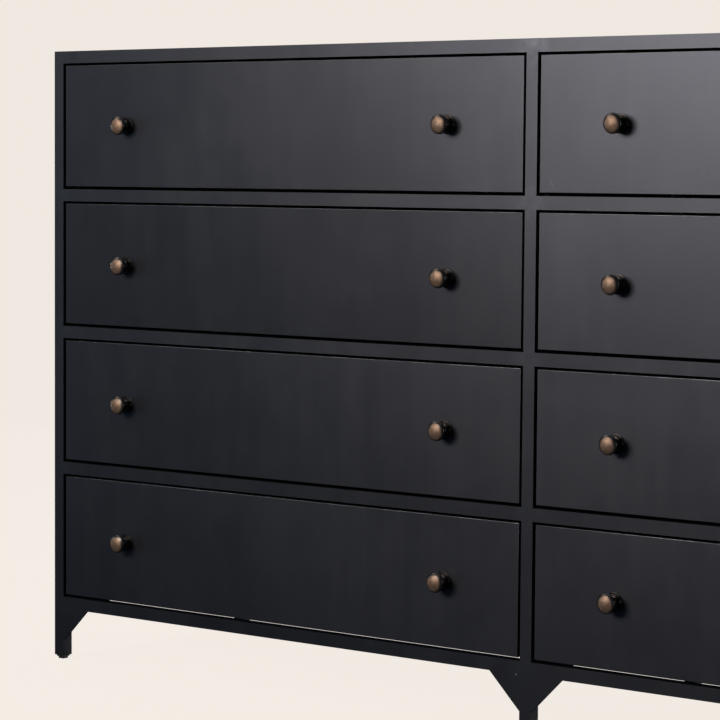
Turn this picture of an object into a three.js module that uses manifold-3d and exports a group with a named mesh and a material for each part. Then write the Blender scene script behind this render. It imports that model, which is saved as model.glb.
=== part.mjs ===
// Eight-drawer steel dresser, two columns of four inset drawers.
//
// A face frame of square tube, ground flush at its seams, stands on three braced feet. Sheet
// panels close the top, sides and back, and a matching frame stands behind them. Every drawer is
// a folded steel front on an open tray, pulled by two round knobs, and runs on a pair of
// full-extension telescopic slides: a fixed channel on a rack, a middle channel that travels
// half as far as the drawer, and an inner channel joined to the tray.
//
// Millimetres. +X is to the right of someone facing the drawers, +Y is towards the back and +Z is
// up. The origin is on the floor, under the middle of the outline with its knobs.

import * as THREE from 'three';
import { mergeVertices } from 'three/addons/utils/BufferGeometryUtils.js';
import Module from 'manifold-3d';

const wasm = await Module();
wasm.setup();

// Overall size
const WIDTH = 1829;
const HEIGHT = 965;
const DEPTH = 457; // the casing alone, without the knobs
const KNOB_REACH = 25; // from the face frame's front plane to the tip of a knob
const GAP = 0.3; // between pieces that touch

// Frames and casing
const TUBE = 19;
const TUBE_WALL = 1.5;
const SHEET = 1.5;
const ROWS = 4;
const FOOT_HEIGHT = 82; // floor to the underside of the bottom rail
const BRACE_LEG = 52; // both short sides of a foot's corner brace
const BRACE_THICKNESS = 3;
const GLIDE_STEPS = [
  { width: 15, bottom: 3.5 },
  { width: 11, bottom: 0 },
];
const LEG_BOTTOM = 6;

// Drawers
const FRONT_RECESS = 1;
const FRONT_THICKNESS = 19;
const GAP_ABOVE = 3.6;
const GAP_BELOW = 4.2;
const GAP_BESIDE = 4.9;
const TRAY_LENGTH = 400;
const TRAY_HEIGHT = 150;
const TRAY_LIFT = 12; // opening's lower edge to the tray's underside
const TRAY_WALL = 1.2;

// Knobs
const KNOB_INSET = 130; // from the side of a drawer front to a knob's axis
const KNOB_SEGMENTS = 16;

// Slides. Offsets run from the side of the opening towards the tray.
const SLIDE_WALL = 1.2;
const SLIDE_START = 22; // behind the face frame's front plane
const SLIDE_LENGTH = 400;
const SLIDE_LIFT = 80; // opening's lower edge to the middle of a slide
const SLIDE_SPACE = 13; // side of the opening to the tray
const OUTER_CHANNEL = { web: 0, lips: 10.5, height: 45 };
const MIDDLE_CHANNEL = { web: 2, lips: 11, height: 37 };
const INNER_CHANNEL = { web: SLIDE_SPACE + 0.2, lips: 5.2, height: 30 };
const POST_DEPTH = 30;
const POST_STARTS = [30, 380]; // behind the face frame's front plane
const OVERLAP = 0.2; // how far welded pieces run into each other

// Places worked out from the sizes above
const FRONT = (KNOB_REACH - DEPTH) / 2; // the face frame's front plane
const BACK = FRONT + DEPTH;
const SIDE = WIDTH / 2;
const OPENING_WIDTH = (WIDTH - 3 * TUBE) / 2;
const OPENING_HEIGHT = (HEIGHT - FOOT_HEIGHT - (ROWS + 1) * TUBE) / ROWS;
const FACE_WIDTH = OPENING_WIDTH - 2 * GAP_BESIDE;
const FACE_HEIGHT = OPENING_HEIGHT - GAP_ABOVE - GAP_BELOW;
const FACE_FRONT = FRONT + FRONT_RECESS;
const FACE_BACK = FACE_FRONT + FRONT_THICKNESS;
const COLUMNS = [
  { name: 'left', left: TUBE - SIDE },
  { name: 'right', left: TUBE / 2 },
];
const CASING_FRONT = FRONT + TUBE + GAP;
const CASING_BACK = BACK - TUBE - GAP;
const TOP_UNDERSIDE = HEIGHT - SHEET;

const openingBottom = (row) => HEIGHT - row * (OPENING_HEIGHT + TUBE);

const blackened = () =>
  new THREE.MeshStandardMaterial({ color: 0x24262b, roughness: 0.5, metalness: 0.7 });
const bronze = () =>
  new THREE.MeshStandardMaterial({ color: 0x6d4a35, roughness: 0.4, metalness: 0.9 });
const zinc = () =>
  new THREE.MeshStandardMaterial({ color: 0xb4b8bd, roughness: 0.35, metalness: 1 });

// Geometry helpers

function box(x, y, z) {
  const geometry = new THREE.BoxGeometry(x[1] - x[0], y[1] - y[0], z[1] - z[0]);
  return geometry.translate((x[0] + x[1]) / 2, (y[0] + y[1]) / 2, (z[0] + z[1]) / 2);
}

function outline(points) {
  return new THREE.Shape(points.map(([a, b]) => new THREE.Vector2(a, b)));
}

function rectangle(a, b) {
  return outline([[a[0], b[0]], [a[1], b[0]], [a[1], b[1]], [a[0], b[1]]]);
}

// An outline drawn in X and Z, given its depth along Y.
function alongY(shape, y) {
  const geometry = new THREE.ExtrudeGeometry(shape, { depth: y[1] - y[0], bevelEnabled: false });
  return geometry.rotateX(Math.PI / 2).translate(0, y[1], 0);
}

// An outline drawn in Y and Z, given its thickness along X.
function alongX(shape, x) {
  const geometry = new THREE.ExtrudeGeometry(shape, { depth: x[1] - x[0], bevelEnabled: false });
  geometry.rotateX(Math.PI / 2).rotateZ(Math.PI / 2);
  return geometry.translate(x[0], 0, 0);
}

// An outline drawn in X and Y, given its height along Z.
function alongZ(shape, z) {
  const geometry = new THREE.ExtrudeGeometry(shape, { depth: z[1] - z[0], bevelEnabled: false });
  return geometry.translate(0, 0, z[0]);
}

function toSolid(geometry) {
  const bare = geometry.clone();
  bare.deleteAttribute('normal');
  bare.deleteAttribute('uv');
  const merged = mergeVertices(bare, 1e-4);
  const vertProperties = new Float32Array(merged.attributes.position.array);
  const triVerts = new Uint32Array(merged.index.array);
  return new wasm.Manifold(new wasm.Mesh({ numProp: 3, vertProperties, triVerts }));
}

function toGeometry(solid) {
  const mesh = solid.getMesh();
  const geometry = new THREE.BufferGeometry();
  geometry.setAttribute('position', new THREE.BufferAttribute(mesh.vertProperties, 3));
  geometry.setIndex(new THREE.BufferAttribute(mesh.triVerts, 1));
  geometry.computeVertexNormals();
  return geometry;
}

function join(geometries) {
  const solids = geometries.map(toSolid);
  return toGeometry(solids.reduce((whole, solid) => whole.add(solid)));
}

function cut(geometry, cutters) {
  const solid = cutters.map(toSolid).reduce((rest, cutter) => rest.subtract(cutter), toSolid(geometry));
  return toGeometry(solid);
}

const dresser = new THREE.Group();

function add(parent, name, geometry, material) {
  const mesh = new THREE.Mesh(geometry, material);
  mesh.name = name;
  parent.add(mesh);
}

// Frames

// A foot's glide, stepped in from the tube that it plugs.
function glide(middleX, middleY) {
  return GLIDE_STEPS.map(({ width, bottom }) => {
    const half = width / 2;
    const x = [middleX - half, middleX + half];
    const y = [middleY - half, middleY + half];
    return box(x, y, [bottom, LEG_BOTTOM + TUBE]);
  });
}

// Outline of a corner brace between an upright's face at `face` and the rail above it, opening
// towards +1 or -1, run into both by `into`.
function brace(face, towards, into) {
  const at = (offset) => face + towards * offset;
  return outline([
    [at(-into), FOOT_HEIGHT - BRACE_LEG],
    [at(0), FOOT_HEIGHT - BRACE_LEG],
    [at(BRACE_LEG), FOOT_HEIGHT],
    [at(BRACE_LEG), FOOT_HEIGHT + into],
    [at(-into), FOOT_HEIGHT + into],
  ]);
}

// A frame of tubes from `y[0]` to `y[1]`: rails with their undersides at the given heights, three
// legs with glides, and four braces whose plates lie between `plate[0]` and `plate[1]`.
function frame(y, plate, railHeights) {
  const half = TUBE / 2;
  const pieces = railHeights.map((z) => box([-SIDE, SIDE], y, [z, z + TUBE]));
  for (const leg of [half - SIDE, 0, SIDE - half]) {
    pieces.push(box([leg - half, leg + half], y, [LEG_BOTTOM, HEIGHT]));
    pieces.push(...glide(leg, (y[0] + y[1]) / 2));
  }
  for (const [upright, towards] of [[TUBE - SIDE, 1], [-half, -1], [half, 1], [SIDE - TUBE, -1]]) {
    pieces.push(alongY(brace(upright, towards, half), plate));
  }
  return join(pieces);
}

const columnSpan = ({ left }) => [left, left + OPENING_WIDTH];

function frontFrame() {
  const rails = [HEIGHT - TUBE];
  for (let row = 1; row <= ROWS; row += 1) {
    rails.push(openingBottom(row) - TUBE);
  }
  return frame([FRONT, FRONT + TUBE], [FRONT, FRONT + BRACE_THICKNESS], rails);
}

function rearFrame() {
  return frame([BACK - TUBE, BACK], [BACK - BRACE_THICKNESS, BACK], [FOOT_HEIGHT, HEIGHT - TUBE]);
}

// Casing

// A side sheet with a tube along its lower and upper edges and a brace beside each leg.
function sidePanel(side) {
  const across = (thickness) => [side * SIDE, side * (SIDE - thickness)].sort((a, b) => a - b);
  const along = [CASING_FRONT, CASING_BACK];
  const top = TOP_UNDERSIDE - GAP;
  const pieces = [
    box(across(SHEET), along, [FOOT_HEIGHT, top]),
    box(across(TUBE), along, [FOOT_HEIGHT, FOOT_HEIGHT + TUBE]),
    box(across(TUBE), along, [top - TUBE, top]),
  ];
  for (const [end, towards] of [[CASING_FRONT, 1], [CASING_BACK, -1]]) {
    const shape = outline([
      [end, FOOT_HEIGHT - BRACE_LEG],
      [end + towards * BRACE_LEG, FOOT_HEIGHT],
      [end + towards * BRACE_LEG, FOOT_HEIGHT + TUBE / 2],
      [end, FOOT_HEIGHT + TUBE / 2],
    ]);
    pieces.push(alongX(shape, across(BRACE_THICKNESS)));
  }
  return join(pieces);
}

function topPanel() {
  return box([-SIDE, SIDE], [CASING_FRONT, CASING_BACK], [TOP_UNDERSIDE, HEIGHT]);
}

function backPanel() {
  const half = SIDE - TUBE - GAP;
  return box([-half, half], [CASING_BACK - SHEET, CASING_BACK], [FOOT_HEIGHT, TOP_UNDERSIDE - GAP]);
}

// The tube that joins the two middle feet, open at both ends.
function centreStretcher() {
  const half = TUBE / 2;
  const bore = half - TUBE_WALL;
  const middle = FOOT_HEIGHT + half;
  const section = rectangle([-half, half], [FOOT_HEIGHT, FOOT_HEIGHT + TUBE]);
  section.holes = [rectangle([-bore, bore], [middle - bore, middle + bore])];
  return alongY(section, [CASING_FRONT, CASING_BACK - SHEET - GAP]);
}

// Slides

// One channel of a slide on the side of an opening at `edge`, with its lips towards `lips`.
function channel({ web, lips, height }, edge, inward, middle) {
  const turn = Math.sign(lips - web);
  const x = (offset) => edge + inward * offset;
  const z = (offset) => [middle - height / 2 + offset, middle + height / 2 - offset];
  const inner = web + turn * SLIDE_WALL;
  const [low, high] = z(0);
  const [innerLow, innerHigh] = z(SLIDE_WALL);
  const section = outline([
    [x(web), low],
    [x(lips), low],
    [x(lips), innerLow],
    [x(inner), innerLow],
    [x(inner), innerHigh],
    [x(lips), innerHigh],
    [x(lips), high],
    [x(web), high],
  ]);
  return alongY(section, [FRONT + SLIDE_START, FRONT + SLIDE_START + SLIDE_LENGTH]);
}

const slideMiddle = (row) => openingBottom(row) + SLIDE_LIFT;

function fixedChannels(edge, inward) {
  const channels = [];
  for (let row = 1; row <= ROWS; row += 1) {
    channels.push(channel(OUTER_CHANNEL, edge, inward, slideMiddle(row)));
  }
  return channels;
}

// Two upright folded posts inside a side panel, carrying one column's four fixed channels.
function sideRack(side) {
  const edge = side * (SIDE - TUBE);
  const far = side * (SIDE - SHEET - GAP);
  const web = edge - side * OVERLAP;
  const z = [FOOT_HEIGHT + TUBE + GAP, TOP_UNDERSIDE - TUBE - 2 * GAP];
  const pieces = fixedChannels(edge, -side);
  for (const start of POST_STARTS) {
    const y = [FRONT + start, FRONT + start + POST_DEPTH];
    const section = outline([
      [far, y[0]],
      [web, y[0]],
      [web, y[1]],
      [far, y[1]],
      [far, y[1] - TUBE_WALL],
      [web + side * TUBE_WALL, y[1] - TUBE_WALL],
      [web + side * TUBE_WALL, y[0] + TUBE_WALL],
      [far, y[0] + TUBE_WALL],
    ]);
    pieces.push(alongZ(section, z));
  }
  return join(pieces);
}

// Two upright tubes between the columns, carrying four fixed channels on either side.
function centreRack() {
  const half = TUBE / 2 + OVERLAP;
  const pieces = [...fixedChannels(-TUBE / 2, -1), ...fixedChannels(TUBE / 2, 1)];
  for (const start of POST_STARTS) {
    const y = [FRONT + start, FRONT + start + POST_DEPTH];
    const section = rectangle([-half, half], y);
    const bore = half - TUBE_WALL;
    section.holes = [rectangle([-bore, bore], [y[0] + TUBE_WALL, y[1] - TUBE_WALL])];
    pieces.push(alongZ(section, [FOOT_HEIGHT + TUBE + GAP, TOP_UNDERSIDE - GAP]));
  }
  return join(pieces);
}

// Drawers

// The folded front: a face with four returns, open at the back.
function drawerFront(face) {
  const hollow = box(
    [face.left + SHEET, face.right - SHEET],
    [FACE_FRONT + SHEET, FACE_BACK + 1],
    [face.bottom + SHEET, face.top - SHEET],
  );
  const whole = box([face.left, face.right], [FACE_FRONT, FACE_BACK], [face.bottom, face.top]);
  return cut(whole, [hollow]);
}

// The open tray, the liner that closes the back of the front, and the two inner channels.
function drawerTray(face, column, row) {
  const [left, right] = columnSpan(column);
  const x = [left + SLIDE_SPACE, right - SLIDE_SPACE];
  const y = [FACE_BACK - OVERLAP, FACE_BACK + TRAY_LENGTH];
  const bottom = openingBottom(row) + TRAY_LIFT;
  const inside = SHEET + GAP;
  const tray = cut(box(x, y, [bottom, bottom + TRAY_HEIGHT]), [
    box(
      [x[0] + TRAY_WALL, x[1] - TRAY_WALL],
      [y[0] + TRAY_WALL, y[1] - TRAY_WALL],
      [bottom + TRAY_WALL, bottom + TRAY_HEIGHT + 1],
    ),
  ]);
  const liner = box(
    [face.left + inside, face.right - inside],
    [FACE_BACK - TRAY_WALL, FACE_BACK],
    [face.bottom + inside, face.top - inside],
  );
  return join([
    tray,
    liner,
    channel(INNER_CHANNEL, left, 1, slideMiddle(row)),
    channel(INNER_CHANNEL, right, -1, slideMiddle(row)),
  ]);
}

// A round knob: a flared rose against the drawer, a waist, and a shallow domed head.
function knob() {
  const rose = [[13.5, 0], [13.5, 1.5], [11, 3], [7.2, 6]];
  const waist = [[5.5, 9], [5.8, 11.5], [8.5, 14.7]];
  const head = [[13.6, 16.2], [14.5, 18.2], [14.5, 21], [13, 23.2], [7, 25]];
  const length = KNOB_REACH + FRONT_RECESS - GAP;
  const profile = [[0, 0], ...rose, ...waist, ...head, [0, length]];
  const points = profile.map(([radius, height]) => new THREE.Vector2(radius, height));
  return new THREE.LatheGeometry(points, KNOB_SEGMENTS).rotateX(Math.PI);
}

function addDrawer(column, row) {
  const name = `drawer_${column.name}_${row}`;
  const [left, right] = columnSpan(column);
  const bottom = openingBottom(row);
  const face = {
    left: left + GAP_BESIDE,
    right: right - GAP_BESIDE,
    bottom: bottom + GAP_BELOW,
    top: bottom + GAP_BELOW + FACE_HEIGHT,
  };
  const drawer = new THREE.Group();
  add(drawer, `${name}_front`, drawerFront(face), blackened());
  add(drawer, `${name}_tray`, drawerTray(face, column, row), blackened());
  for (const [hand, x] of [['left', face.left + KNOB_INSET], ['right', face.right - KNOB_INSET]]) {
    const place = new THREE.Group();
    place.position.set(x, FACE_FRONT - GAP, (face.bottom + face.top) / 2);
    add(place, `${name}_knob_${hand}`, knob(), bronze());
    drawer.add(place);
  }
  for (const [hand, edge, inward] of [['left', left, 1], ['right', right, -1]]) {
    const slide = channel(MIDDLE_CHANNEL, edge, inward, slideMiddle(row));
    add(drawer, `${name}_slide_${hand}`, slide, zinc());
  }
  dresser.add(drawer);
}

add(dresser, 'front_frame', frontFrame(), blackened());
add(dresser, 'rear_frame', rearFrame(), blackened());
add(dresser, 'top_panel', topPanel(), blackened());
add(dresser, 'left_side_panel', sidePanel(-1), blackened());
add(dresser, 'right_side_panel', sidePanel(1), blackened());
add(dresser, 'back_panel', backPanel(), blackened());
add(dresser, 'centre_stretcher', centreStretcher(), blackened());
add(dresser, 'left_slide_rack', sideRack(-1), zinc());
add(dresser, 'right_slide_rack', sideRack(1), zinc());
add(dresser, 'centre_slide_rack', centreRack(), zinc());
for (const column of COLUMNS) {
  for (let row = 1; row <= ROWS; row += 1) {
    addDrawer(column, row);
  }
}

export default dresser;
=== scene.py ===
"""Looks for the eight-drawer blackened steel dresser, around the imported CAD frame.

Metres, in the frame's own axes: +X to the right of someone facing the drawers, +Y towards the
back, +Z up, with the floor at Z = 0.
"""

import math
import random

import bmesh
import bpy
from mathutils import Matrix, Vector


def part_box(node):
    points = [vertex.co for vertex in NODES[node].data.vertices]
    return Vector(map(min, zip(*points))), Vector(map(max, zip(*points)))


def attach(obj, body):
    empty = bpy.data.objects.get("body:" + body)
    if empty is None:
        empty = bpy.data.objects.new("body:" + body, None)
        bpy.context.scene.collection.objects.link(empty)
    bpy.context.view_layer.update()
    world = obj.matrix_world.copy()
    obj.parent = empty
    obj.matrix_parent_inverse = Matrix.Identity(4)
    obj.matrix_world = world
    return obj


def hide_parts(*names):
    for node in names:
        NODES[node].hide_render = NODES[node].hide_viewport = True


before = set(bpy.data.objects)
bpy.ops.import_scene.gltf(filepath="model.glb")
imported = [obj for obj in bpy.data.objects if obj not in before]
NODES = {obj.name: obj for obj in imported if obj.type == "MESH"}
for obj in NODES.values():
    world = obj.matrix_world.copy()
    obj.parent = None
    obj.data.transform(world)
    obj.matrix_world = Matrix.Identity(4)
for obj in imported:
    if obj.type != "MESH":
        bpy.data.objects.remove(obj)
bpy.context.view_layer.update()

MM = 0.001
COLUMNS = ("left", "right")
ROWS = (1, 2, 3, 4)
HANDS = ("left", "right")
SEED = 11

# Places read from the frame
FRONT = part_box("front_frame")[0].y
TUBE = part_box("front_frame")[1].y - FRONT
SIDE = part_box("front_frame")[1].x
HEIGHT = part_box("front_frame")[1].z
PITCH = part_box("drawer_left_1_front")[0].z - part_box("drawer_left_2_front")[0].z  # from row to row


# ---------------------------------------------------------------- shader helpers

class Shader:
    """A material's node tree, with one Principled shader."""

    def __init__(self, name):
        self.material = bpy.data.materials.new(name)
        self.material.use_nodes = True
        self.tree = self.material.node_tree
        self.surface = self.tree.nodes["Principled BSDF"]
        self.place = self.node("ShaderNodeTexCoord").outputs["Object"]

    def node(self, kind, settings=None, **inputs):
        """A node with its inputs set to values or linked to sockets."""
        made = self.tree.nodes.new(kind)
        for key, value in (settings or {}).items():
            setattr(made, key, value)
        for key, value in inputs.items():
            self.feed(made.inputs[key.replace("_", " ")], value)
        return made

    def feed(self, socket, value):
        """Links a socket to another one, or sets its value."""
        if isinstance(value, bpy.types.NodeSocket):
            self.tree.links.new(value, socket)
        else:
            socket.default_value = value

    def set(self, **inputs):
        """Feeds inputs of the Principled shader."""
        for key, value in inputs.items():
            self.feed(self.surface.inputs[key.replace("_", " ")], value)

    def noise(self, scale, detail=3.0, roughness=0.55, stretch=(1, 1, 1), offset=(0, 0, 0)):
        """Noise in the piece's own metres. A stretch below 1 draws it out along that axis."""
        mapping = self.node("ShaderNodeMapping", Vector=self.place, Scale=stretch, Location=offset)
        made = self.node("ShaderNodeTexNoise", Vector=mapping.outputs[0], Scale=scale,
                         Detail=detail, Roughness=roughness)
        return made.outputs["Fac"]

    def math(self, operation, a, b=0.0):
        made = self.node("ShaderNodeMath", {"operation": operation})
        for socket, value in zip(made.inputs, (a, b)):
            self.feed(socket, value)
        return made.outputs[0]

    def spread(self, value, low, high, to_low=0.0, to_high=1.0):
        """value from low..high to to_low..to_high, smoothly and clamped."""
        made = self.node("ShaderNodeMapRange", {"interpolation_type": "SMOOTHSTEP"})
        for key, number in zip(("Value", "From Min", "From Max", "To Min", "To Max"),
                               (value, low, high, to_low, to_high)):
            self.feed(made.inputs[key], number)
        return made.outputs[0]

    def mix(self, factor, a, b):
        made = self.node("ShaderNodeMix", {"data_type": "RGBA"})
        self.feed(made.inputs[0], factor)
        self.feed(made.inputs[6], a)
        self.feed(made.inputs[7], b)
        return made.outputs[2]

    def bump(self, height, strength, distance):
        made = self.node("ShaderNodeBump", Height=height, Strength=strength, Distance=distance)
        self.feed(self.surface.inputs["Normal"], made.outputs[0])


def rgb(red, green, blue):
    return (red, green, blue, 1.0)


def length(s, a, b):
    """The length of a vector of two parts, as a socket of shader s."""
    return s.math("SQRT", s.math("ADD", s.math("POWER", a, 2), s.math("POWER", b, 2)))


# ---------------------------------------------------------------- materials

BARE_STEEL = rgb(0.13, 0.13, 0.135)


def blackened_steel(name, welds=False, tone=1.0, offset=0.0, rub=None):
    """Satin blackened sheet: faint clouds and wipe marks in the patina, ground welds, and a small
    slanting rub mark at rub, an (x, z) place."""
    s = Shader(name)
    place = (offset, 2 * offset, 3 * offset)
    clouds = s.noise(2.6, detail=4, offset=place)
    mottle = s.noise(17, detail=5, roughness=0.6, offset=place)
    wipes = s.noise(30, detail=3, stretch=(1, 1, 0.12), offset=place)
    grain = s.noise(260, detail=2, stretch=(0.12, 1, 1))
    patina = s.math("ADD", s.math("MULTIPLY", clouds, 0.5), s.math("MULTIPLY", mottle, 0.25))
    patina = s.math("ADD", patina, s.math("MULTIPLY", wipes, 0.25))
    shade = s.spread(patina, 0.38, 0.62)
    colour = s.mix(shade, rgb(0.0598 * tone, 0.0585 * tone, 0.0655 * tone),
                   rgb(0.0706 * tone, 0.0685 * tone, 0.0748 * tone))
    rough = s.spread(patina, 0.3, 0.7, 0.37, 0.41)
    if welds:
        ground = ground_patches(s)
        colour = s.mix(s.math("MULTIPLY", ground, 0.3), colour, BARE_STEEL)
        rough = s.math("SUBTRACT", rough, s.math("MULTIPLY", ground, 0.04))
    if rub:
        colour = s.mix(s.math("MULTIPLY", rub_mark(s, *rub), 0.35), colour, BARE_STEEL)
    specks = s.spread(s.noise(420, detail=2, offset=place), 0.74, 0.80)
    colour = s.mix(s.math("MULTIPLY", specks, 0.25), colour, rgb(0.20, 0.20, 0.21))
    s.set(Base_Color=colour, Roughness=rough, Metallic=0.95)
    relief = s.math("ADD", s.math("MULTIPLY", mottle, 0.6), s.math("MULTIPLY", grain, 0.4))
    s.bump(relief, 0.05, 0.4 * MM)
    return s.material


def rub_mark(s, at_x, at_z):
    """1 in the middle of a soft slanting mark about 6 mm wide and 20 mm tall."""
    x, _, z = s.node("ShaderNodeSeparateXYZ", Vector=s.place).outputs
    up = s.math("SUBTRACT", z, at_z)
    across = s.math("ADD", s.math("SUBTRACT", x, at_x), s.math("MULTIPLY", up, 0.45))
    away = length(s, across, s.math("MULTIPLY", up, 0.3))
    return s.spread(away, 0.5 * MM, 3.2 * MM, 1.0, 0.0)


def ground_patches(s):
    """1 near each meeting of a rail and an upright, broken up by noise."""
    x, _, z = s.node("ShaderNodeSeparateXYZ", Vector=s.place).outputs
    half_tube = TUBE / 2
    column = s.math("PINGPONG", x, SIDE - half_tube)
    column = s.math("MINIMUM", s.math("ABSOLUTE", column),
                    s.math("ABSOLUTE", s.math("SUBTRACT", column, SIDE - half_tube)))
    row = s.math("PINGPONG", s.math("SUBTRACT", z, HEIGHT - half_tube), PITCH / 2)
    near = s.spread(length(s, column, row), 10 * MM, 34 * MM, 1.0, 0.0)
    return s.math("MULTIPLY", near, s.spread(s.noise(60, detail=4), 0.35, 0.65))


def worn_and_highlit_edge():
    """Arrises rubbed back towards bare metal, lighter than the faces: partly real rubbing, partly a painted
    highlight along the edges.
    """
    s = Shader("worn_and_highlit_steel_edge")
    # This mask breaks up the lighter edge colour, which is partly bare metal and partly a painted highlight.
    wear_and_highlight = s.spread(s.noise(45, detail=5, roughness=0.65), 0.38, 0.62)
    colour = s.mix(wear_and_highlight, rgb(0.075, 0.075, 0.080), BARE_STEEL)
    s.set(Base_Color=colour, Roughness=s.spread(wear_and_highlight, 0.0, 1.0, 0.42, 0.34), Metallic=0.95)
    return s.material


def aged_bronze():
    """Dark oiled bronze with glossy rims, rubbed to a soft brown set a little low on the crown, so that the
    crown's top edge keeps a painted shade.
    """
    s = Shader("aged_bronze")
    x, y, z = s.node("ShaderNodeSeparateXYZ", Vector=s.place).outputs
    # The rubbed brown is moved down by this much, leaving a painted shade along the crown's top edge.
    top_shade_drop = 1.2 * MM
    radius = length(s, x, s.math("ADD", y, top_shade_drop))
    ragged = s.math("MULTIPLY", s.math("SUBTRACT", s.noise(120, detail=4), 0.5), 2.4 * MM)
    on_head = s.spread(z, 19.6 * MM, 21.2 * MM)
    crown = s.spread(s.math("ADD", radius, ragged), 9.4 * MM, 13.4 * MM, 1.0, 0.0)
    rubbed = s.math("MULTIPLY", on_head, crown)
    stain = s.spread(s.noise(170, detail=5, roughness=0.65), 0.34, 0.66)
    brown = s.mix(stain, rgb(0.240, 0.142, 0.088), rgb(0.355, 0.220, 0.146))
    # The head's rim is lighter than the rose and neck: partly polish, partly a painted highlight on the rim
    # and a painted shade on the rose.
    dark = s.mix(on_head, rgb(0.034, 0.028, 0.025), rgb(0.075, 0.066, 0.062))
    colour = s.mix(rubbed, dark, brown)
    s.set(Base_Color=colour, Roughness=s.spread(rubbed, 0.0, 1.0, 0.27, 0.50),
          Metallic=s.spread(rubbed, 0.0, 1.0, 0.9, 0.72))
    s.bump(s.noise(900, detail=3), 0.06, 0.2 * MM)
    return s.material


def zinc_plate():
    """Zinc-plated slide channels: pale bluish metal with long drawn lines."""
    s = Shader("zinc_plate")
    drawn = s.noise(700, detail=3, stretch=(1, 0.02, 1))
    bloom = s.noise(35, detail=4)
    colour = s.mix(s.spread(bloom, 0.3, 0.7), rgb(0.40, 0.42, 0.45), rgb(0.56, 0.57, 0.58))
    s.set(Base_Color=colour, Roughness=s.spread(drawn, 0.3, 0.7, 0.26, 0.40), Metallic=1.0)
    s.bump(drawn, 0.08, 0.1 * MM)
    return s.material


def moulded_plastic():
    """Black moulded glide."""
    s = Shader("moulded_plastic")
    pits = s.noise(1200, detail=2)
    s.set(Base_Color=s.mix(pits, rgb(0.012, 0.012, 0.012), rgb(0.03, 0.03, 0.03)),
          Roughness=s.spread(pits, 0.3, 0.7, 0.45, 0.6))
    s.bump(pits, 0.1, 0.1 * MM)
    return s.material


SHEET_STEEL = blackened_steel("blackened_sheet")
FRAME_STEEL = blackened_steel("blackened_frame", welds=True)
EDGE_STEEL = worn_and_highlit_edge()
BRONZE = aged_bronze()
ZINC = zinc_plate()
PLASTIC = moulded_plastic()


# ---------------------------------------------------------------- mesh helpers

NEAR = 0.05 * MM  # what counts as the same place


def finish_mesh(name, bm, *materials):
    """An object made from bm, which is freed. Flat faces stay flat up to their rounded edges."""
    normals = corner_normals(bm)
    mesh = bpy.data.meshes.new(name)
    bm.to_mesh(mesh)
    bm.free()
    if "custom_normal" in mesh.attributes:  # left from the CAD mesh
        mesh.attributes.remove(mesh.attributes["custom_normal"])
    for material in materials:
        mesh.materials.append(material)
    mesh.normals_split_custom_set(normals)
    return put(name, mesh)


def put(name, data):
    """An object in the scene, for a mesh, a light or a camera."""
    made = bpy.data.objects.new(name, data)
    bpy.context.scene.collection.objects.link(made)
    return made


def smooth_mesh(name, bm, material, sharp_from):
    """A mesh made from bm, which is freed, smooth but for edges of sharp_from degrees and more."""
    mesh = bpy.data.meshes.new(name)
    bm.to_mesh(mesh)
    bm.free()
    mesh.materials.append(material)
    mesh.polygons.foreach_set("use_smooth", [True] * len(mesh.polygons))
    mesh.set_sharp_from_angle(angle=math.radians(sharp_from))
    return mesh


def corner_normals(bm):
    """One normal for each face corner: a flat face's own, and on a rounded face the normal of the
    flat face that it meets at that corner, or else the mean of the rounded faces there."""
    bm.normal_update()
    rounded = bm.faces.layers.int.get("rounded")
    normals = []
    for face in bm.faces:
        face.smooth = True
        for loop in face.loops:
            if rounded is None or not face[rounded]:
                normals.append(face.normal.copy())
                continue
            flats = [f.normal for f in loop.vert.link_faces if not f[rounded]]
            flats = [n for n in flats if n.dot(face.normal) > 0.5]
            if flats:
                normals.append(max(flats, key=face.normal.dot).copy())
            else:
                mean = sum((f.normal * f.calc_area() for f in loop.vert.link_faces), Vector())
                normals.append(mean.normalized())
    return normals


def mount(piece, body, slot, *nodes):
    """Puts a piece on a body and hides any CAD nodes that it replaces. Its slot is not used."""
    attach(piece, body)
    if nodes:
        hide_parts(*nodes)


def solid_of(node, *cuts):
    """A CAD node's solid with its flat faces whole again, ready to be bevelled. A flat face keeps a
    line across it at each cut (axis, place), so that no face has a hole in it."""
    bm = bmesh.new()
    bm.from_mesh(NODES[node].data)
    bmesh.ops.remove_doubles(bm, verts=bm.verts, dist=0.002 * MM)
    for axis, place in cuts:
        normal = Vector((axis == 0, axis == 1, axis == 2))
        made = bmesh.ops.bisect_plane(bm, geom=bm.verts[:] + bm.edges[:] + bm.faces[:],
                                      dist=0.01 * MM, plane_co=normal * place, plane_no=normal)
        for part in made["geom_cut"]:
            if isinstance(part, bmesh.types.BMEdge):
                part.seam = True
    bmesh.ops.dissolve_limit(bm, angle_limit=math.radians(1), verts=bm.verts, edges=bm.edges,
                             delimit={"SEAM"})
    for face in bm.faces:
        face.material_index = 0
    return bm


def round_edges(bm, width, segments, wanted=None, worn_and_highlit=False):
    """Rounds the sharp edges that wanted() accepts, or all of them. The new faces of rubbed, highlit
    edges take the second, lighter material: partly bare metal, partly a painted highlight."""
    rounded = bm.faces.layers.int.get("rounded") or bm.faces.layers.int.new("rounded")
    sharp = [e for e in bm.edges if e.is_manifold and e.calc_face_angle() > math.radians(25)]
    chosen = [e for e in sharp if wanted is None or wanted(e)]
    made = bmesh.ops.bevel(bm, geom=chosen, offset=width, offset_type="OFFSET", segments=segments,
                           profile=0.5, affect="EDGES", clamp_overlap=True)
    for face in made["faces"]:
        if face.is_valid:
            face[rounded] = 1
            # The second material is the lighter edge steel: partly bare metal, partly a painted highlight.
            face.material_index = 1 if worn_and_highlit else 0
    return bm


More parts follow.
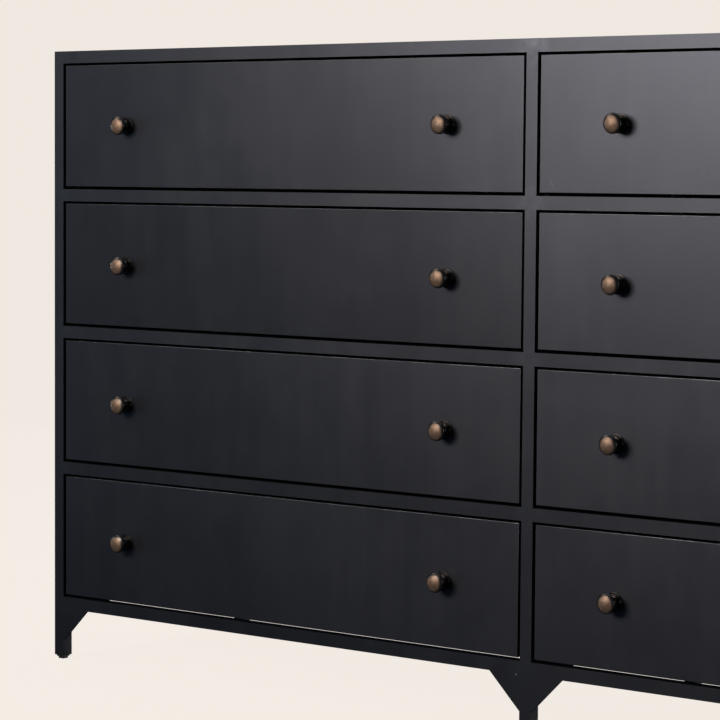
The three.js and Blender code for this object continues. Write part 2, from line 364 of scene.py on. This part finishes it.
def along(edge, axis, value):
    """True where both ends of an edge have that coordinate."""
    return all(abs(v.co[axis] - value) < NEAR for v in edge.verts)


def is_level(edge):
    """True for an edge that runs flat, not up."""
    return along(edge, 2, edge.verts[0].co.z)


# ---------------------------------------------------------------- camera, light and floor

LIT_SHARE = 0.06  # of the floor's tone that the lights and shadows make


def studio():
    """A plain pale floor and backdrop, a large soft light at the front left, smaller ones at the
    left and the right, and fills for the back and the top."""
    scene = bpy.context.scene
    scene.view_settings.view_transform = "Standard"
    pale = (0.871, 0.812, 0.752)

    camera = put("camera", bpy.data.cameras.new("camera"))
    camera.data.lens = 138.3
    camera.data.sensor_width = 36
    camera.data.clip_end = 60
    camera.location = (2.1793, -3.3560, 0.7865)
    camera.rotation_euler = [math.radians(a) for a in (86.016, -0.419, 38.292)]
    scene.camera = camera

    world = bpy.data.worlds.new("studio")
    scene.world = world
    world.use_nodes = True
    nodes, links = world.node_tree.nodes, world.node_tree.links
    nodes.clear()
    path = nodes.new("ShaderNodeLightPath")
    dim, seen = nodes.new("ShaderNodeBackground"), nodes.new("ShaderNodeBackground")
    dim.inputs["Color"].default_value = (0.42, 0.62, 1.0, 1.0)
    dim.inputs["Strength"].default_value = 0.045
    seen.inputs["Color"].default_value = (*pale, 1.0)
    both, out = nodes.new("ShaderNodeMixShader"), nodes.new("ShaderNodeOutputWorld")
    links.new(path.outputs["Is Camera Ray"], both.inputs[0])
    links.new(dim.outputs[0], both.inputs[1])
    links.new(seen.outputs[0], both.inputs[2])
    links.new(both.outputs[0], out.inputs[0])

    reach = 30
    corners = [(x * reach, y * reach, 0) for x, y in ((-1, -1), (1, -1), (1, 1), (-1, 1))]
    floor_mesh = bpy.data.meshes.new("floor")
    floor_mesh.from_pydata(corners, [], [(0, 1, 2, 3)])
    floor = put("floor", floor_mesh)
    floor.visible_glossy = False
    floor.visible_diffuse = False
    floor_mesh.materials.append(pale_floor(pale))

    soft_light("key", azimuth=-20, elevation=18, distance=3.6, size=(1.6, 1.2), power=62)
    soft_light("high_left", azimuth=-60, elevation=42, distance=3.6, size=(1.6, 1.6), power=13)
    soft_light("window", azimuth=-62, elevation=6, distance=4.5, size=(2.2, 2.2), power=4,
               tint=(0.45, 0.75, 1.0))
    soft_light("side", azimuth=86, elevation=3, distance=4.0, size=(0.4, 2.2), power=30)
    soft_light("back_fill", azimuth=182, elevation=0, distance=4.0, size=(3.4, 0.9), power=50, spread=70)
    soft_light("left_back_fill", azimuth=-112, elevation=0, distance=4.5, size=(3.0, 0.9), power=22,
               spread=50)
    soft_light("overhead", azimuth=0, elevation=88, distance=3.5, size=(3.0, 2.4), power=25)


def soft_light(name, azimuth, elevation, distance, size, power, tint=(1.0, 1.0, 1.0), spread=180):
    """An area light aimed at the dresser. Azimuth 0 is in front of it and turns to its right."""
    data = bpy.data.lights.new(name, "AREA")
    data.shape = "RECTANGLE"
    data.size, data.size_y = size
    data.energy = power
    data.color = tint
    data.spread = math.radians(spread)
    light = put(name, data)
    a, e = math.radians(azimuth), math.radians(elevation)
    aim = Vector((0, 0, HEIGHT * 0.5))
    way = Vector((math.sin(a) * math.cos(e), -math.cos(a) * math.cos(e), math.sin(e)))
    light.location = aim + way * distance
    light.rotation_euler = way.to_track_quat("Z", "Y").to_euler()


def pale_floor(colour):
    """Mostly its own even tone, with a share of lit surface that takes soft shadows."""
    material = bpy.data.materials.new("pale_floor")
    material.use_nodes = True
    nodes, links = material.node_tree.nodes, material.node_tree.links
    nodes.clear()
    even, lit = nodes.new("ShaderNodeEmission"), nodes.new("ShaderNodeBsdfDiffuse")
    both, out = nodes.new("ShaderNodeMixShader"), nodes.new("ShaderNodeOutputMaterial")
    even.inputs["Color"].default_value = (*colour, 1.0)
    even.inputs["Strength"].default_value = 1 / (1 - LIT_SHARE)
    lit.inputs["Color"].default_value = (*colour, 1.0)
    both.inputs[0].default_value = LIT_SHARE
    links.new(even.outputs[0], both.inputs[1])
    links.new(lit.outputs[0], both.inputs[2])
    links.new(both.outputs[0], out.inputs[0])
    return material


# ---------------------------------------------------------------- casing

GLIDE_FOOT, GLIDE_COLLAR = 11 * MM, 15 * MM  # widths of a glide's two steps
GLIDE_STEP, GLIDE_TOP = 3.5 * MM, 6 * MM  # and how high they reach
CLEARANCE = 0.02 * MM  # keeps the cut through a leg off the CAD's own plane there
WELD_HEIGHT = 78 * MM
WELD_ASIDE = 7 * MM  # from the middle upright
GAP = 0.3 * MM  # between the CAD pieces, closed here where the real ones are welded
FRONT_AND_REAR, TOP = ((1, -1), (1, 1)), (2, 1)  # the ends at which sheets are welded


def fine_frame(node):
    """A tube frame with rounded arrises, lighter as rubbed metal and as a painted highlight. The glides
    under its legs are separate pieces.
    """
    upright_edges = [side * x for side in (1, -1) for x in (TUBE / 2, SIDE - TUBE)]
    rail_edges = [HEIGHT - row * PITCH - edge for row in (0, *ROWS) for edge in (0, TUBE)]
    cuts = [(0, x) for x in upright_edges] + [(2, z) for z in rail_edges if z < HEIGHT]
    bm = solid_of(node, *cuts)
    bmesh.ops.bisect_plane(bm, geom=bm.verts[:] + bm.edges[:] + bm.faces[:],
                           plane_co=(0, 0, GLIDE_TOP + CLEARANCE), plane_no=(0, 0, 1), clear_inner=True)
    bmesh.ops.holes_fill(bm, edges=bm.edges)
    # The rounded arrises take the lighter edge steel: partly rubbed metal, partly a painted highlight.
    round_edges(bm, 1.1 * MM, 3, worn_and_highlit=True)
    piece = finish_mesh(f"{node}_fine", bm, FRAME_STEEL, EDGE_STEEL)
    mount(piece, "root", "blackened_steel", node)


def fine_sheet(node, *seams):
    """A sheet with rounded arrises. Each seam (axis, +1 or -1) is an end welded to what it meets."""
    bm = solid_of(node)
    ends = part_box(node)
    joints = [(axis, ends[1 if way > 0 else 0][axis], way) for axis, way in seams]
    for axis, value, way in joints:
        for vert in bm.verts:
            if abs(vert.co[axis] - value) < NEAR:
                vert.co[axis] = value + way * GAP
    closed = [(axis, value + way * GAP) for axis, value, way in joints]
    # The rounded arrises take the lighter edge steel: partly rubbed metal, partly a painted highlight.
    round_edges(bm, 0.5 * MM, 2, lambda e: not any(along(e, *joint) for joint in closed), worn_and_highlit=True)
    piece = finish_mesh(f"{node}_fine", bm, SHEET_STEEL, EDGE_STEEL)
    mount(piece, "root", "blackened_steel", node)


def weld_bead():
    """The crescent end of a weld left proud beside the middle front foot."""
    steps, sides, bend = 14, 8, 3.2 * MM
    start, sweep = math.radians(8), math.radians(130)
    middle_x = -TUBE / 2 - WELD_ASIDE
    bm = bmesh.new()
    rings = []
    for i in range(steps + 1):
        share = i / steps
        a = start + sweep * share
        thickness = (0.2 + 0.6 * math.sin(math.pi * share)) * MM
        ring = []
        for k in range(sides):
            b = 2 * math.pi * k / sides
            reach = bend + thickness * math.cos(b)
            out = 0.7 * thickness * math.sin(b)
            ring.append(bm.verts.new((middle_x + reach * math.cos(a), FRONT + out,
                                      WELD_HEIGHT + reach * math.sin(a))))
        rings.append(ring)
    for ring, following in zip(rings, rings[1:]):
        for k in range(sides):
            m = (k + 1) % sides
            bm.faces.new((ring[k], ring[m], following[m], following[k]))
    bm.faces.new(rings[0][::-1])
    bm.faces.new(rings[-1])
    bmesh.ops.recalc_face_normals(bm, faces=bm.faces)
    # The bead takes the lighter edge steel: partly bare metal, partly a painted highlight.
    piece = finish_mesh("weld_bead", bm, EDGE_STEEL)
    mount(piece, "root", "blackened_steel")


def glides():
    """Stepped plastic glides under the six legs."""
    low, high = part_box("front_frame"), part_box("rear_frame")
    for depth, y in (("front", low[0].y + TUBE / 2), ("rear", high[1].y - TUBE / 2)):
        for spot, x in (("left", TUBE / 2 - SIDE), ("middle", 0.0), ("right", SIDE - TUBE / 2)):
            bm = bmesh.new()
            for width, bottom, top in ((GLIDE_FOOT, 0.0, GLIDE_STEP), (GLIDE_COLLAR, GLIDE_STEP, GLIDE_TOP)):
                matrix = Matrix.Translation((x, y, (bottom + top) / 2)) @ Matrix.Diagonal(
                    (width, width, top - bottom, 1))
                bmesh.ops.create_cube(bm, size=1, matrix=matrix)
            round_edges(bm, 0.7 * MM, 3)
            piece = finish_mesh(f"glide_{depth}_{spot}", bm, PLASTIC)
            mount(piece, "root", "glide_plastic")


# ---------------------------------------------------------------- drawers

# Each front's tone by column and row: partly the finish taking differently, partly painted light that makes
# the lower fronts lighter, most of all the bottom row.
FRONT_TONES_AND_LIGHT = {"left": (0.99, 0.80, 1.02, 1.14), "right": (1.01, 1.04, 1.06, 1.15)}
RUBBED = "drawer_right_1"
RUB_PLACE = (20 * MM, 12 * MM)  # from that front's lower left corner


def fine_front(drawer, tone, offset, rubbed):
    """A folded front with rounded arrises round its face, lighter along the top and the bottom as rubbed
    metal and as a painted highlight. Each front has its own tone: partly the finish taking differently,
    partly painted light that makes the lower fronts lighter."""
    node = f"{drawer}_front"
    low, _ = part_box(node)
    rub = (low.x + RUB_PLACE[0], low.z + RUB_PLACE[1]) if rubbed else None
    bm = solid_of(node)
    # Only the level arrises take the lighter edge steel: a painted highlight where light catches them, and
    # partly rubbed metal.
    round_edges(bm, 1.0 * MM, 3, lambda e: along(e, 1, low.y) and is_level(e), worn_and_highlit=True)
    round_edges(bm, 0.4 * MM, 3, lambda e: along(e, 1, low.y) and not is_level(e))
    steel = blackened_steel(f"blackened_{node}", tone=tone, offset=offset, rub=rub)
    piece = finish_mesh(f"{node}_fine", bm, steel, EDGE_STEEL)
    mount(piece, drawer, "blackened_steel", node)


def arc(centre, radius, start, end, steps):
    """Points of an arc in (radius, height), angles in degrees from the radial direction."""
    points = []
    for i in range(steps + 1):
        a = math.radians(start + (end - start) * i / steps)
        points.append((centre[0] + radius * math.cos(a), centre[1] + radius * math.sin(a)))
    return points


def turned(profile, segments):
    """A closed bmesh turned round +Z from (radius, height) points. One on the axis is a single
    point, and an end that is off the axis is a disc."""
    bm = bmesh.new()
    angles = [2 * math.pi * i / segments for i in range(segments)]
    rings = []
    for radius, height in profile:
        if radius < 0.001 * MM:
            rings.append([bm.verts.new((0, 0, height))])
        else:
            rings.append([bm.verts.new((radius * math.cos(a), radius * math.sin(a), height))
                          for a in angles])
    for below, above in zip(rings, rings[1:]):
        for i in range(segments):
            j = (i + 1) % segments
            if len(below) == 1:
                bm.faces.new((below[0], above[j], above[i]))
            elif len(above) == 1:
                bm.faces.new((below[i], below[j], above[0]))
            else:
                bm.faces.new((below[i], below[j], above[j], above[i]))
    for ring in (rings[-1], rings[0][::-1]):
        if len(ring) > 1:
            bm.faces.new(ring)
    return bm


def knob_profile():
    """Half section of a knob in millimetres, from its seat to the middle of its crown."""
    rose = [(0, 0), (13.4, 0)] + arc((13.2, 0.7), 0.7, -90, 90, 6) + [(12.3, 1.5), (12.1, 2.1)]
    step = arc((10.6, 2.1), 0.8, 0, 90, 4) + [(9.8, 2.9)]
    cove = arc((9.8, 7.6), 4.7, 270, 188, 10)
    collar = arc((5.3, 9.6), 0.7, -60, 60, 5)
    flare = arc((11.8, 10.6), 6.8, 180, 108, 10)
    rim, rim_radius, rim_end = (12.5, 20.0), 1.8, 62
    edge = arc((12.7, 18.4), 1.6, -70, 0, 5) + arc(rim, rim_radius, 0, rim_end, 7)
    crown_radius, crown_top = 24.5, 25.6
    crown_edge = rim[0] + rim_radius * math.cos(math.radians(rim_end))
    crown_start = math.degrees(math.acos(crown_edge / crown_radius))
    crown = arc((0, crown_top - crown_radius), crown_radius, crown_start, 90, 14)[1:]
    return rose + step + cove + collar + flare + edge + crown


def knob_mesh():
    """A knob standing along +Z from its seat, shared by all sixteen."""
    bm = turned([(radius * MM, height * MM) for radius, height in knob_profile()], 64)
    return smooth_mesh("knob", bm, BRONZE, 32)


def fine_knob(node, body, mesh, chance):
    """A knob on its seat, turned a little more or less than its neighbours."""
    low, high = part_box(node)
    piece = put(f"{node}_fine", mesh)
    seat = Matrix.Translation(((low.x + high.x) / 2, high.y, (low.z + high.z) / 2))
    spin = Matrix.Rotation(chance.uniform(-0.5, 0.5), 4, "Z")
    piece.matrix_world = seat @ Matrix.Rotation(math.pi / 2, 4, "X") @ spin
    mount(piece, body, "knob_bronze", node)


TRAY_WALL = 1.2 * MM
HEM_DEPTH, HEM_WIDTH = 9 * MM, 1.1 * MM
HEM_RISE = 0.4 * MM  # above the tray's edge
SCREW_SINK = 0.2 * MM  # of a knob screw's head into the liner
SLIDE_TO_TRAY = 11 * MM  # from a middle channel's outer side
SLIDE_TO_TRAY_TOP = 82 * MM  # from a slide's middle up to the tray's edge


def fine_tray(node, body):
    """A folded tray with its sharp edges taken off."""
    bm = round_edges(solid_of(node), 0.3 * MM, 1)
    piece = finish_mesh(f"{node}_fine", bm, SHEET_STEEL)
    mount(piece, body, "blackened_steel", node)


def tray_side(drawer, hand):
    """Where the outer face of a tray's wall is, in X."""
    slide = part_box(f"{drawer}_slide_{hand}")
    return slide[0].x + SLIDE_TO_TRAY if hand == "left" else slide[1].x - SLIDE_TO_TRAY


def slide_middle(drawer):
    """The height of the middle of a drawer's slides."""
    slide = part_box(f"{drawer}_slide_left")
    return (slide[0].z + slide[1].z) / 2


def tray_hem(drawer):
    """The hem folded in along a tray's open edge."""
    top = slide_middle(drawer) + SLIDE_TO_TRAY_TOP + HEM_RISE
    bottom = top - HEM_DEPTH
    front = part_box(f"{drawer}_front")[1].y
    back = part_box(f"{drawer}_tray")[1].y
    left, right = tray_side(drawer, "left"), tray_side(drawer, "right")

    def loop(inset, z):
        corners = ((left, front), (right, front), (right, back), (left, back))
        ways = ((1, 1), (-1, 1), (-1, -1), (1, -1))
        return [bm.verts.new((x + a * inset, y + b * inset, z)) for (x, y), (a, b) in zip(corners, ways)]

    bm = bmesh.new()
    outer, inner = TRAY_WALL / 2, TRAY_WALL + HEM_WIDTH
    rings = [loop(outer, bottom), loop(outer, top), loop(inner, top), loop(inner, bottom)]
    for ring, following in zip(rings, rings[1:] + rings[:1]):
        for i in range(4):
            j = (i + 1) % 4
            bm.faces.new((ring[i], ring[j], following[j], following[i]))
    bmesh.ops.recalc_face_normals(bm, faces=bm.faces)
    round_edges(bm, 0.3 * MM, 2)
    piece = finish_mesh(f"{drawer}_tray_hem", bm, SHEET_STEEL)
    mount(piece, drawer, "blackened_steel")


def slotted_head():
    """A slotted pan head standing along +Z."""
    half_slot, slot_floor = 0.5 * MM, 0.9 * MM
    profile = [(4.2, 0.0), (4.2, 0.7), (3.9, 1.2), (2.9, 1.65), (1.5, 1.9)]
    bm = turned([(radius * MM, height * MM) for radius, height in profile], 32)
    for cut in (-1.0, -0.9, 0.9, 1.0):
        bmesh.ops.bisect_plane(bm, geom=bm.verts[:] + bm.edges[:] + bm.faces[:],
                               plane_co=(cut * half_slot, 0, 0), plane_no=(1, 0, 0))
    for vert in bm.verts:
        if abs(vert.co.x) < 0.95 * half_slot:
            vert.co.z = min(vert.co.z, slot_floor)
    mesh = bpy.data.meshes.new("slotted_head")
    bm.to_mesh(mesh)
    bm.free()
    return mesh


def drawer_screws(drawer, head, chance):
    """Screw heads inside a tray: one behind each knob, and three along each slide."""
    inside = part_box(f"{drawer}_front")[1].y + TRAY_WALL - SCREW_SINK
    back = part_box(f"{drawer}_tray")[1].y
    places = []
    for hand, side in (("left", 1), ("right", -1)):
        low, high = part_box(f"{drawer}_knob_{hand}")
        towards_back = Matrix.Rotation(-math.pi / 2, 4, "X")
        places.append(((low.x + high.x) / 2, inside, (low.z + high.z) / 2, towards_back))
        wall = tray_side(drawer, hand) + side * TRAY_WALL
        inwards = Matrix.Rotation(side * math.pi / 2, 4, "Y")
        for share in (0.12, 0.5, 0.88):
            y = inside + share * (back - inside)
            places.append((wall, y, slide_middle(drawer), inwards))
    bm = bmesh.new()
    for x, y, z, facing in places:
        before = len(bm.verts)
        bm.from_mesh(head)
        bm.verts.ensure_lookup_table()
        place = Matrix.Translation((x, y, z)) @ facing @ Matrix.Rotation(chance.uniform(0, 3), 4, "Z")
        bmesh.ops.transform(bm, matrix=place, verts=bm.verts[before:])
    piece = put(f"{drawer}_screws", smooth_mesh(f"{drawer}_screws", bm, ZINC, 30))
    mount(piece, drawer, "slide_zinc")


def fine_channel(node, body):
    """A plated slide channel or rack with its sharp edges taken off."""
    bm = round_edges(solid_of(node), 0.35 * MM, 1)
    piece = finish_mesh(f"{node}_fine", bm, ZINC)
    mount(piece, body, "slide_zinc", node)


def build_drawers():
    """All that is on the eight drawers and their middle slide channels."""
    chance = random.Random(SEED)
    mesh = knob_mesh()
    head = slotted_head()
    for column in COLUMNS:
        for row in ROWS:
            drawer = f"drawer_{column}_{row}"
            fine_front(drawer, FRONT_TONES_AND_LIGHT[column][row - 1], chance.uniform(1, 9), drawer == RUBBED)
            fine_tray(f"{drawer}_tray", drawer)
            tray_hem(drawer)
            drawer_screws(drawer, head, chance)
            for hand in HANDS:
                fine_knob(f"{drawer}_knob_{hand}", drawer, mesh, chance)
                fine_channel(f"{drawer}_slide_{hand}", f"slides_{column}_{row}")


studio()
for tube_frame in ("front_frame", "rear_frame"):
    fine_frame(tube_frame)
for panel in ("top_panel", "centre_stretcher"):
    fine_sheet(panel, *FRONT_AND_REAR)
for panel in ("left_side_panel", "right_side_panel"):
    fine_sheet(panel, *FRONT_AND_REAR, TOP)
fine_sheet("back_panel")
weld_bead()
for rack in ("left_slide_rack", "right_slide_rack", "centre_slide_rack"):
    fine_channel(rack, "root")
glides()
build_drawers()
